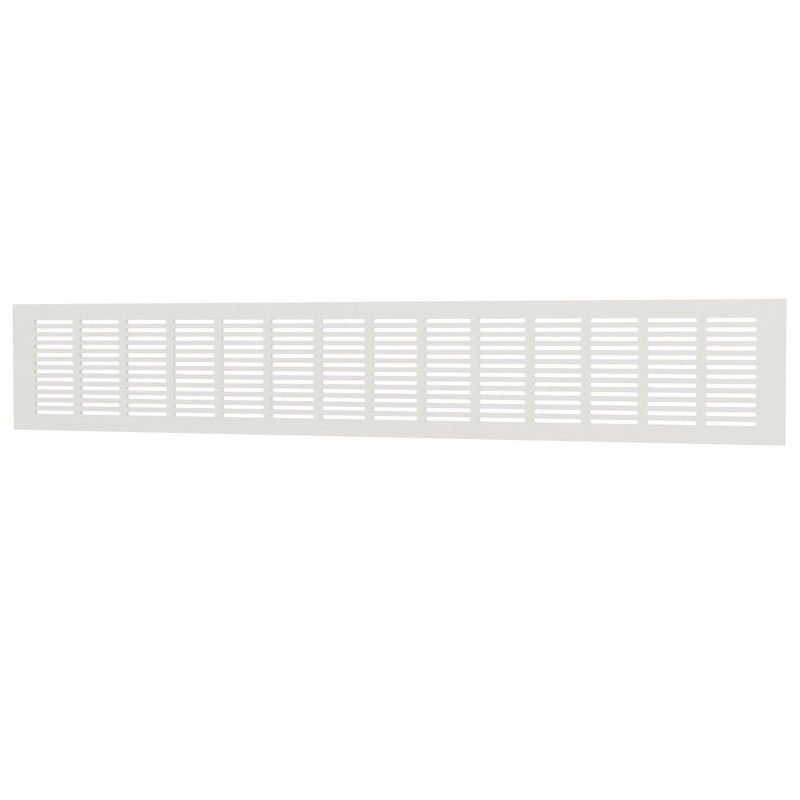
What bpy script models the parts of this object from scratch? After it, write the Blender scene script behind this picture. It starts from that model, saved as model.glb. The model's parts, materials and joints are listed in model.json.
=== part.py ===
"""Transfer grille: one flat metal sheet with a field of round-ended slots punched through it.

Units are metres and +Z is up. X runs along the sheet, the front faces -Y, and the origin is
the middle of the rear face, which lies flat against the wall or door that the grille covers.
"""

import math

import bmesh
import bpy

# Sheet
PLATE_LENGTH = 0.600
PLATE_HEIGHT = 0.100
SHEET_THICKNESS = 0.003

# One slot, from tip to tip and across, with half-round ends
SLOT_LENGTH = 0.0345
SLOT_HEIGHT = 0.003

# Metal left between the tips of two slots in a row, and between two rows
WEB_WIDTH = 0.006
BAR_HEIGHT = 0.0035

# Least plain border that the slots leave at the short ends and along the long edges
LEAST_END_BORDER = 0.015
LEAST_EDGE_BORDER = 0.010

# Straight steps that make one half-round slot end
ARC_STEPS = 6

# Powder coat, as linear colour
COAT_COLOUR = (0.74, 0.73, 0.69, 1.0)
COAT_ROUGHNESS = 0.5


def clear_scene():
    """Removes whatever the file opened with."""
    for thing in list(bpy.data.objects):
        bpy.data.objects.remove(thing, do_unlink=True)


def count_that_fit(room, size, gap):
    """How many things of one size, a gap apart, go into the room."""
    rounding = 1e-9
    return math.floor((room + gap + rounding) / (size + gap))


def centred_places(count, pitch):
    """Centres of a row of equally spaced things whose middle is at zero."""
    return [(index - (count - 1) / 2) * pitch for index in range(count)]


def slot_centres():
    """Centre of every slot, as (x, z), column by column."""
    columns = count_that_fit(PLATE_LENGTH - 2 * LEAST_END_BORDER, SLOT_LENGTH, WEB_WIDTH)
    rows = count_that_fit(PLATE_HEIGHT - 2 * LEAST_EDGE_BORDER, SLOT_HEIGHT, BAR_HEIGHT)
    across = centred_places(columns, SLOT_LENGTH + WEB_WIDTH)
    upwards = centred_places(rows, SLOT_HEIGHT + BAR_HEIGHT)
    return [(x, z) for x in across for z in upwards]


def sheet_outline():
    """Corners of the sheet, anticlockwise."""
    half_length, half_height = PLATE_LENGTH / 2, PLATE_HEIGHT / 2
    return [
        (-half_length, -half_height),
        (half_length, -half_height),
        (half_length, half_height),
        (-half_length, half_height),
    ]


def slot_outline(centre):
    """Points round one slot: a half circle at each end, joined by straight sides."""
    x, z = centre
    radius = SLOT_HEIGHT / 2
    arc_centre_offset = SLOT_LENGTH / 2 - radius
    points = []
    for side, first_angle in ((1, -math.pi / 2), (-1, math.pi / 2)):
        for step in range(ARC_STEPS + 1):
            angle = first_angle + math.pi * step / ARC_STEPS
            points.append(
                (
                    x + side * arc_centre_offset + radius * math.cos(angle),
                    z + radius * math.sin(angle),
                )
            )
    return points


def add_outline(curve, points):
    """Adds one closed run of straight segments to a flat curve."""
    spline = curve.splines.new("POLY")
    spline.points.add(len(points) - 1)
    for point, (x, y) in zip(spline.points, points):
        point.co = (x, y, 0.0, 1.0)
    spline.use_cyclic_u = True


def make_punched_blank():
    """The sheet as a filled flat curve: its own outline, with one inner outline for each slot."""
    curve = bpy.data.curves.new("punched_blank", "CURVE")
    curve.dimensions = "2D"
    curve.fill_mode = "BOTH"
    curve.extrude = SHEET_THICKNESS / 2
    add_outline(curve, sheet_outline())
    for centre in slot_centres():
        add_outline(curve, slot_outline(centre))
    blank = bpy.data.objects.new("punched_blank", curve)
    # A quarter turn stands the flat curve up, with its face towards -Y
    blank.rotation_euler = (math.pi / 2, 0.0, 0.0)
    blank.location = (0.0, -SHEET_THICKNESS / 2, 0.0)
    return blank


def as_closed_mesh(outline, name):
    """Turns a filled curve into a mesh object whose faces and sides share their edges."""
    weld_distance = 1e-6
    smooth_limit = math.radians(40)
    graph = bpy.context.evaluated_depsgraph_get()
    mesh = bpy.data.meshes.new_from_object(outline.evaluated_get(graph))
    mesh.name = name
    shape = bmesh.new()
    shape.from_mesh(mesh)
    bmesh.ops.remove_doubles(shape, verts=shape.verts, dist=weld_distance)
    bmesh.ops.recalc_face_normals(shape, faces=shape.faces)
    shape.to_mesh(mesh)
    shape.free()
    mesh.shade_smooth()
    mesh.set_sharp_from_angle(angle=smooth_limit)
    solid = bpy.data.objects.new(name, mesh)
    solid.matrix_world = outline.matrix_world
    bpy.data.objects.remove(outline, do_unlink=True)
    return solid


def powder_coat():
    """Satin off-white paint baked on metal."""
    material = bpy.data.materials.new("powder_coat")
    material.use_nodes = True
    shader = material.node_tree.nodes["Principled BSDF"]
    shader.inputs["Base Color"].default_value = COAT_COLOUR
    shader.inputs["Roughness"].default_value = COAT_ROUGHNESS
    shader.inputs["Metallic"].default_value = 0.0
    return material


def make_grille():
    collection = bpy.data.collections.new("transfer_grille")
    bpy.context.scene.collection.children.link(collection)
    blank = make_punched_blank()
    collection.objects.link(blank)
    bpy.context.view_layer.update()
    plate = as_closed_mesh(blank, "grille_plate")
    plate.data.materials.append(powder_coat())
    collection.objects.link(plate)


clear_scene()
make_grille()
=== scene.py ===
"""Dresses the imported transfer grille: a coated sheet with softened edges, under plain studio light.

Units are metres. X runs along the sheet, the front faces -Y, and Z is up.
"""

import json
import math
from functools import partial

import bmesh
import bpy
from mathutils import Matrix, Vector

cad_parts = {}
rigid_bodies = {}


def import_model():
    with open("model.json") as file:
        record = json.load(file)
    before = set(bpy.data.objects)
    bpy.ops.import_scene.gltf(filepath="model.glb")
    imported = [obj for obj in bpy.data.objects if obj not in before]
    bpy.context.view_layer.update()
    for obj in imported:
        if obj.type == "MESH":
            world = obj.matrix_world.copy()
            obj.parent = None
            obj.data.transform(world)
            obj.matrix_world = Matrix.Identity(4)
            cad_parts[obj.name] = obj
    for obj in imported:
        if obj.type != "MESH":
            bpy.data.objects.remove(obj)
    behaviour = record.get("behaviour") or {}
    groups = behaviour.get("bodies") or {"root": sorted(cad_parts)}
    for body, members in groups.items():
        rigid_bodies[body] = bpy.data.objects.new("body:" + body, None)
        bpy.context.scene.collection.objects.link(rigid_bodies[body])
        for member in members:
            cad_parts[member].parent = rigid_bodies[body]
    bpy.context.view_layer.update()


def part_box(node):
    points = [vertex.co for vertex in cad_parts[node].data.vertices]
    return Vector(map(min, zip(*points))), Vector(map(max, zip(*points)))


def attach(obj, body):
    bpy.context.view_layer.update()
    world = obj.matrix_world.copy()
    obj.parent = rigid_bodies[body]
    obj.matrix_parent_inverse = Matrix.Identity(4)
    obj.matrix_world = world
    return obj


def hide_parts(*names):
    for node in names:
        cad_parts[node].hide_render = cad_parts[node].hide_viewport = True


NODE = "grille_plate"
THIN_COAT_AND_SHADE = "thin_coat_and_shade"
WHITE = (1.0, 1.0, 1.0, 1.0)

# Slot pattern, as it is punched in the sheet
SLOT_LENGTH = 0.0345
SLOT_HEIGHT = 0.003
COLUMN_PITCH = 0.0405
ROW_PITCH = 0.0065
COLUMNS = 14
ROWS = 12

# Edges, softened by the punch and the coat: the front more than the rear. A narrow flat rim beside
# each rounding keeps the wide faces shaded flat.
FRONT_ROUND = 0.00012
REAR_ROUND = 0.00008
FLAT_RIM = 0.00012

# Straight steps in the rounding of an edge, and in one half-round slot end
ROUND_STEPS = 3
ARC_STEPS = 12

# Powder coat, as linear colours: its own, the shade it drifts to, and a darker one on the rounded
# edges, for the coat drawn thin there and as painted shade
COAT_COLOUR = (0.743, 0.735, 0.702, 1.0)
COAT_SHADE = (0.728, 0.720, 0.687, 1.0)
THIN_COAT_AND_SHADE_COLOUR = (0.690, 0.682, 0.648, 1.0)

# Patterns in the coat, each with its lumps per metre and its detail
SHADE_PATTERN = (60.0, 3.0)
GLOSS_PATTERN = (220.0, 2.0)
PEEL_PATTERN = (900.0, 2.0)

# How matt the coat is where it shines most and least, and how deep its orange peel is
LEAST_ROUGHNESS = 0.42
MOST_ROUGHNESS = 0.54
PEEL_DEPTH = 0.00010

# Camera, fitted to the photograph
CAMERA_PLACE = (0.3718, -1.0893, 0.0255)
CAMERA_YAW = math.radians(17.737)
CAMERA_PITCH = math.radians(-2.219)
CAMERA_ROLL = math.radians(0.014)
CAMERA_LENS = 69.848
CAMERA_SHIFT = -0.0061
SENSOR_WIDTH = 36.0

# Floor, well below the grille: partly white near its middle, and plain white from FADE_END on
FLOOR_HEIGHT = -0.60
FLOOR_SIZE = 40.0
FLOOR_COLOUR = (0.80, 0.80, 0.80, 1.0)
FLOOR_ROUGHNESS = 0.9
FADE_START = 0.40
FADE_END = 0.85
NEAR_WHITE = 0.5

# Light: a bright white surround, a far panel from the left, a weak one by the camera and one
# behind that lights the rear
AMBIENT = 0.735
KEY_PLACE = (-3.1, -4.4, 2.5)
KEY_SIZE = 2.0
KEY_POWER = 65.0
FILL_PLACE = (0.5, -1.3, 0.3)
FILL_SIZE = 0.4
FILL_POWER = 3.0
REAR_PLACE = (2.5, 4.3, 0.6)
REAR_SIZE = 2.0
REAR_POWER = 32.0


def clear_scene():
    """Removes whatever the file opened with."""
    for thing in list(bpy.data.objects):
        bpy.data.objects.remove(thing, do_unlink=True)


def edge_profile(thickness):
    """Cross-section of an edge, from front to rear.

    Each entry is the depth behind the front, how far the metal stands back there, and how dark
    the edge is painted there, from 0 to 1: the coat drawn thin, and painted shade.
    """
    profile = [(0.0, FRONT_ROUND + FLAT_RIM, 0.0)]
    for step in range(ROUND_STEPS + 1):
        angle = math.pi / 2 * step / ROUND_STEPS
        depth = FRONT_ROUND * (1 - math.cos(angle))
        profile.append((depth, FRONT_ROUND * (1 - math.sin(angle)), math.sin(2 * angle)))
    for step in range(ROUND_STEPS + 1):
        angle = math.pi / 2 * (1 - step / ROUND_STEPS)
        depth = thickness - REAR_ROUND * (1 - math.cos(angle))
        profile.append((depth, REAR_ROUND * (1 - math.sin(angle)), math.sin(2 * angle)))
    profile.append((thickness, REAR_ROUND + FLAT_RIM, 0.0))
    return profile


def sheet_outline(low, high, back):
    """Corners of the sheet, with its edges standing back by a distance."""
    return [
        (low.x + back, low.z + back),
        (high.x - back, low.z + back),
        (high.x - back, high.z - back),
        (low.x + back, high.z - back),
    ]


def slot_outline(x, z, back):
    """Points round one slot, with the metal round it standing back by a distance."""
    arc_centre = SLOT_LENGTH / 2 - SLOT_HEIGHT / 2
    radius = SLOT_HEIGHT / 2 + back
    points = []
    for side, first_angle in ((1, -math.pi / 2), (-1, math.pi / 2)):
        for step in range(ARC_STEPS + 1):
            angle = first_angle + math.pi * step / ARC_STEPS
            points.append(
                (x + side * arc_centre + radius * math.cos(angle), z + radius * math.sin(angle))
            )
    return points


def sides(loop):
    """Each vertex of a closed loop, paired with the next one round."""
    return list(zip(loop, loop[1:] + loop[:1]))


def add_wall(shape, outline, front, profile):
    """Sweeps an outline through an edge profile, and returns the edges of its two rims."""
    thin_coat_and_shade = shape.verts.layers.float[THIN_COAT_AND_SHADE]
    loops = []
    for depth, back, thinness_and_shade in profile:
        loop = [shape.verts.new((x, front + depth, z)) for x, z in outline(back)]
        # Each vertex carries how dark its edge is painted: the coat drawn thin, and painted shade
        for vertex in loop:
            vertex[thin_coat_and_shade] = thinness_and_shade
        loops.append(loop)
    for near, far in zip(loops, loops[1:]):
        for (near_start, near_end), (far_start, far_end) in zip(sides(near), sides(far)):
            shape.faces.new((near_start, near_end, far_end, far_start))
    return [[shape.edges.get(side) for side in sides(loop)] for loop in (loops[0], loops[-1])]


def make_plate():
    """The punched sheet with rounded edges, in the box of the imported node."""
    low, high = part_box(NODE)
    profile = edge_profile(high.y - low.y)
    outlines = [partial(sheet_outline, low, high)]
    for column in range(COLUMNS):
        x = (column - (COLUMNS - 1) / 2) * COLUMN_PITCH
        for row in range(ROWS):
            z = (row - (ROWS - 1) / 2) * ROW_PITCH
            outlines.append(partial(slot_outline, x, z))

    shape = bmesh.new()
    shape.verts.layers.float.new(THIN_COAT_AND_SHADE)
    front_rims, rear_rims = [], []
    for outline in outlines:
        front_rim, rear_rim = add_wall(shape, outline, low.y, profile)
        front_rims += front_rim
        rear_rims += rear_rim
    for rims in (front_rims, rear_rims):
        bmesh.ops.triangle_fill(shape, edges=rims, use_beauty=True)
    bmesh.ops.recalc_face_normals(shape, faces=shape.faces)
    mesh = bpy.data.meshes.new("coated_plate")
    shape.to_mesh(mesh)
    shape.free()
    mesh.shade_smooth()
    plate = bpy.data.objects.new("coated_plate", mesh)
    bpy.context.scene.collection.objects.link(plate)
    return plate


def new_material(name):
    """A material, with its nodes and its main shader."""
    material = bpy.data.materials.new(name)
    material.use_nodes = True
    tree = material.node_tree
    return material, tree, tree.nodes["Principled BSDF"]


def powder_coat():
    """Satin powder coat: orange peel, a faint drift of shade, uneven gloss, and darker edges, where
    the coat is thin and shade is painted on.
    """
    material, tree, shader = new_material("powder_coat")
    nodes, links = tree.nodes, tree.links
    place = nodes.new("ShaderNodeTexCoord").outputs["Object"]

    def noise(lumps_per_metre, detail):
        node = nodes.new("ShaderNodeTexNoise")
        node.inputs["Scale"].default_value = lumps_per_metre
        node.inputs["Detail"].default_value = detail
        links.new(place, node.inputs["Vector"])
        return node.outputs["Fac"]

    def blend(share, plain, other):
        node = nodes.new("ShaderNodeMix")
        node.data_type = "RGBA"
        links.new(share, node.inputs["Factor"])
        for name, colour in (("A", plain), ("B", other)):
            if isinstance(colour, bpy.types.NodeSocket):
                links.new(colour, node.inputs[name])
            else:
                node.inputs[name].default_value = colour
        return node.outputs["Result"]

    drift = blend(noise(*SHADE_PATTERN), COAT_SHADE, COAT_COLOUR)
    # The rounded edges turn darker: the coat is thin there, and the darkening is also painted shade
    thinness_and_shade = nodes.new("ShaderNodeAttribute")
    thinness_and_shade.attribute_name = THIN_COAT_AND_SHADE
    links.new(blend(thinness_and_shade.outputs["Fac"], drift, THIN_COAT_AND_SHADE_COLOUR), shader.inputs["Base Color"])

    gloss = nodes.new("ShaderNodeMapRange")
    gloss.inputs["To Min"].default_value = LEAST_ROUGHNESS
    gloss.inputs["To Max"].default_value = MOST_ROUGHNESS
    links.new(noise(*GLOSS_PATTERN), gloss.inputs["Value"])
    links.new(gloss.outputs["Result"], shader.inputs["Roughness"])

    peel = nodes.new("ShaderNodeBump")
    peel.inputs["Distance"].default_value = PEEL_DEPTH
    links.new(noise(*PEEL_PATTERN), peel.inputs["Height"])
    links.new(peel.outputs["Normal"], shader.inputs["Normal"])
    return material


def seen_directly(tree):
    """1 for a ray that shows the background itself: to the camera, in a gloss or through glass."""
    path = tree.nodes.new("ShaderNodeLightPath")
    seen = path.outputs["Is Camera Ray"]
    for other in ("Is Glossy Ray", "Is Transmission Ray"):
        either = tree.nodes.new("ShaderNodeMath")
        either.operation = "MAXIMUM"
        tree.links.new(seen, either.inputs[0])
        tree.links.new(path.outputs[other], either.inputs[1])
        seen = either.outputs["Value"]
    return seen


def floor_paint():
    """Pale and matt under the grille, where its shadow falls, and plain white further out."""
    material, tree, matt = new_material("floor")
    nodes, links = tree.nodes, tree.links
    matt.inputs["Base Color"].default_value = FLOOR_COLOUR
    matt.inputs["Roughness"].default_value = FLOOR_ROUGHNESS
    white = nodes.new("ShaderNodeEmission")
    place = nodes.new("ShaderNodeNewGeometry").outputs["Position"]
    flat = nodes.new("ShaderNodeVectorMath")
    flat.operation = "MULTIPLY"
    flat.inputs[1].default_value = (1.0, 1.0, 0.0)
    links.new(place, flat.inputs[0])
    distance = nodes.new("ShaderNodeVectorMath")
    distance.operation = "LENGTH"
    links.new(flat.outputs["Vector"], distance.inputs[0])
    fade = nodes.new("ShaderNodeMapRange")
    fade.interpolation_type = "SMOOTHSTEP"
    fade.inputs["From Min"].default_value = FADE_START
    fade.inputs["From Max"].default_value = FADE_END
    fade.inputs["To Min"].default_value = NEAR_WHITE
    links.new(distance.outputs["Value"], fade.inputs["Value"])
    share = nodes.new("ShaderNodeMath")
    share.operation = "MULTIPLY"
    links.new(fade.outputs["Result"], share.inputs[0])
    links.new(seen_directly(tree), share.inputs[1])
    mix = nodes.new("ShaderNodeMixShader")
    links.new(share.outputs["Value"], mix.inputs["Fac"])
    links.new(matt.outputs["BSDF"], mix.inputs[1])
    links.new(white.outputs["Emission"], mix.inputs[2])
    links.new(mix.outputs["Shader"], nodes["Material Output"].inputs["Surface"])
    return material


def make_floor():
    """A wide floor under the grille, which is no part of the object."""
    bpy.ops.mesh.primitive_plane_add(size=FLOOR_SIZE, location=(0.0, 0.0, FLOOR_HEIGHT))
    floor = bpy.context.object
    floor.name = "floor"
    floor.data.materials.append(floor_paint())


def light_world():
    """Soft white light all round, in front of a background that is plain white."""
    world = bpy.data.worlds.new("studio")
    bpy.context.scene.world = world
    world.use_nodes = True
    tree = world.node_tree
    soft = tree.nodes["Background"]
    soft.inputs["Color"].default_value = WHITE
    soft.inputs["Strength"].default_value = AMBIENT
    white = tree.nodes.new("ShaderNodeBackground")
    white.inputs["Color"].default_value = WHITE
    mix = tree.nodes.new("ShaderNodeMixShader")
    tree.links.new(seen_directly(tree), mix.inputs["Fac"])
    tree.links.new(soft.outputs["Background"], mix.inputs[1])
    tree.links.new(white.outputs["Background"], mix.inputs[2])
    tree.links.new(mix.outputs["Shader"], tree.nodes["World Output"].inputs["Surface"])


def add_panel(name, place, size, power):
    """A soft square lamp that faces the grille."""
    lamp = bpy.data.lights.new(name, "AREA")
    lamp.size = size
    lamp.energy = power
    panel = bpy.data.objects.new(name, lamp)
    panel.location = place
    panel.rotation_euler = (-Vector(place)).to_track_quat("-Z", "Y").to_euler()
    bpy.context.scene.collection.objects.link(panel)


def add_camera():
    """The camera that took the photograph, near the level of the grille and to its right."""
    data = bpy.data.cameras.new("camera")
    data.lens = CAMERA_LENS
    data.sensor_width = SENSOR_WIDTH
    data.shift_y = CAMERA_SHIFT
    camera = bpy.data.objects.new("camera", data)
    camera.location = CAMERA_PLACE
    camera.rotation_euler = (math.pi / 2 + CAMERA_PITCH, CAMERA_ROLL, CAMERA_YAW)
    bpy.context.scene.collection.objects.link(camera)
    bpy.context.scene.camera = camera


clear_scene()
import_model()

plate = make_plate()
plate.data.materials.append(powder_coat())
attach(plate, "root")
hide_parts(NODE)

make_floor()
light_world()
add_panel("key_panel", KEY_PLACE, KEY_SIZE, KEY_POWER)
add_panel("fill_panel", FILL_PLACE, FILL_SIZE, FILL_POWER)
add_panel("rear_panel", REAR_PLACE, REAR_SIZE, REAR_POWER)
add_camera()
bpy.context.scene.view_settings.view_transform = "Standard"
